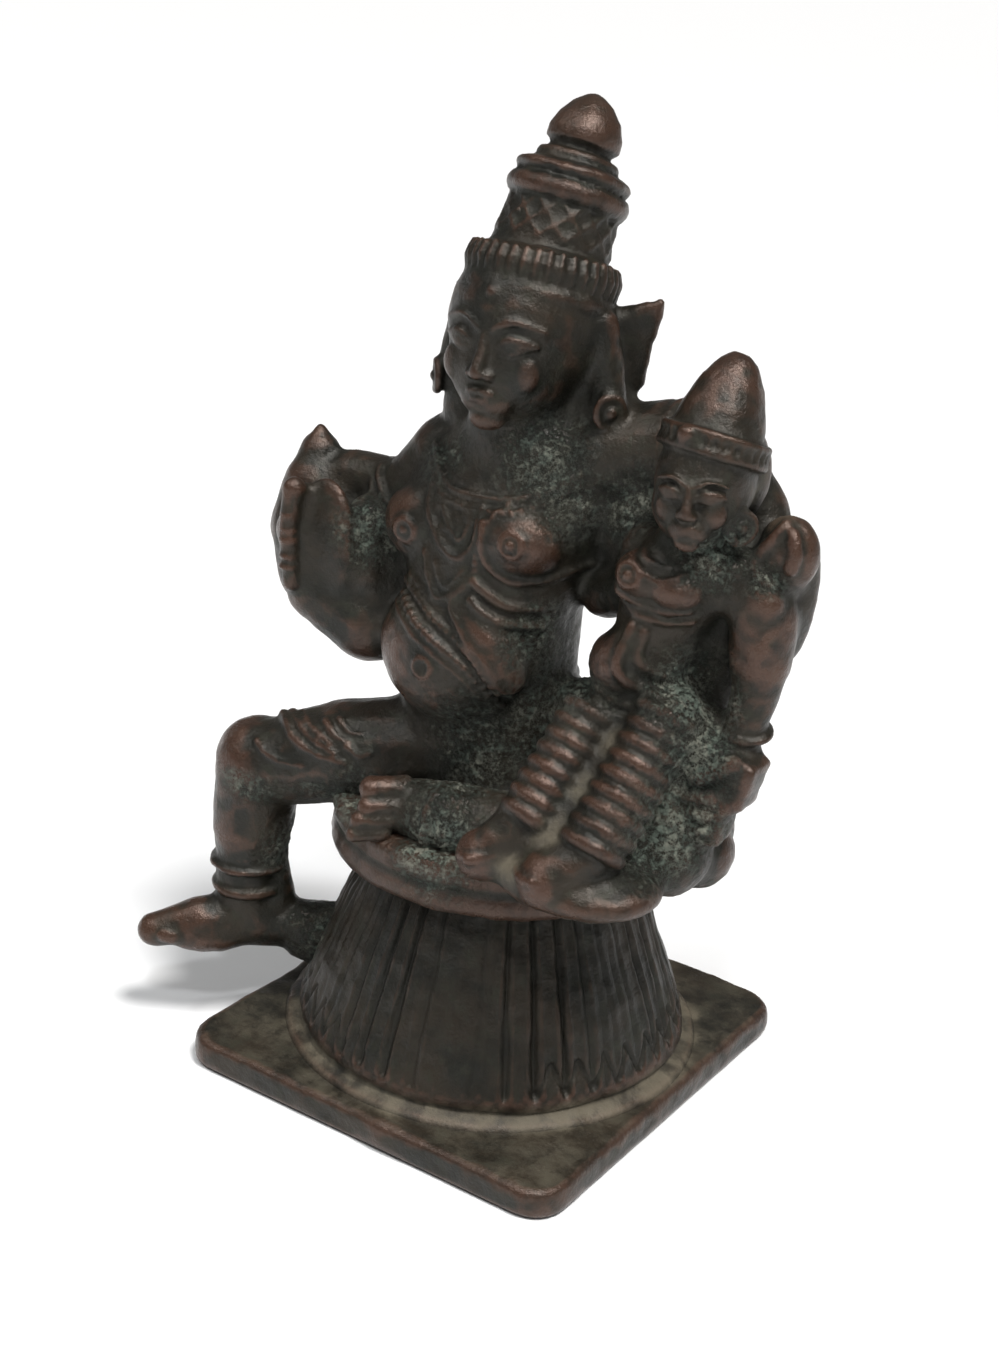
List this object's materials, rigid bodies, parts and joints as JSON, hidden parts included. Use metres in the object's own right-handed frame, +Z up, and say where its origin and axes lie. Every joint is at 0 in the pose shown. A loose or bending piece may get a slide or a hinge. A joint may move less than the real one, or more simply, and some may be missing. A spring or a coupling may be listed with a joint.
{
  "type": "bronze figure group",
  "caption": "Small cast bronze of a seated god in a tall crown with a consort on the left thigh, on a bell-shaped lotus pedestal and square plate; stands on its plate",
  "frame": {"origin": "centre of the plate's flat underside, on the surface that the group stands on", "axes": "+Z up through the pedestal, -Y the way the god faces, +X the god's left, where the consort sits"},
  "size_m": [0.0582, 0.0432, 0.0881],
  "materials": {
    "bronze": "dark brown-black patina, worn to reddish brown on high points, with grey-green corrosion and tan dirt in the hollows"
  },
  "bodies": {
    "root": {"bronze_figure_group": "bronze"}
  },
  "joints": []
}
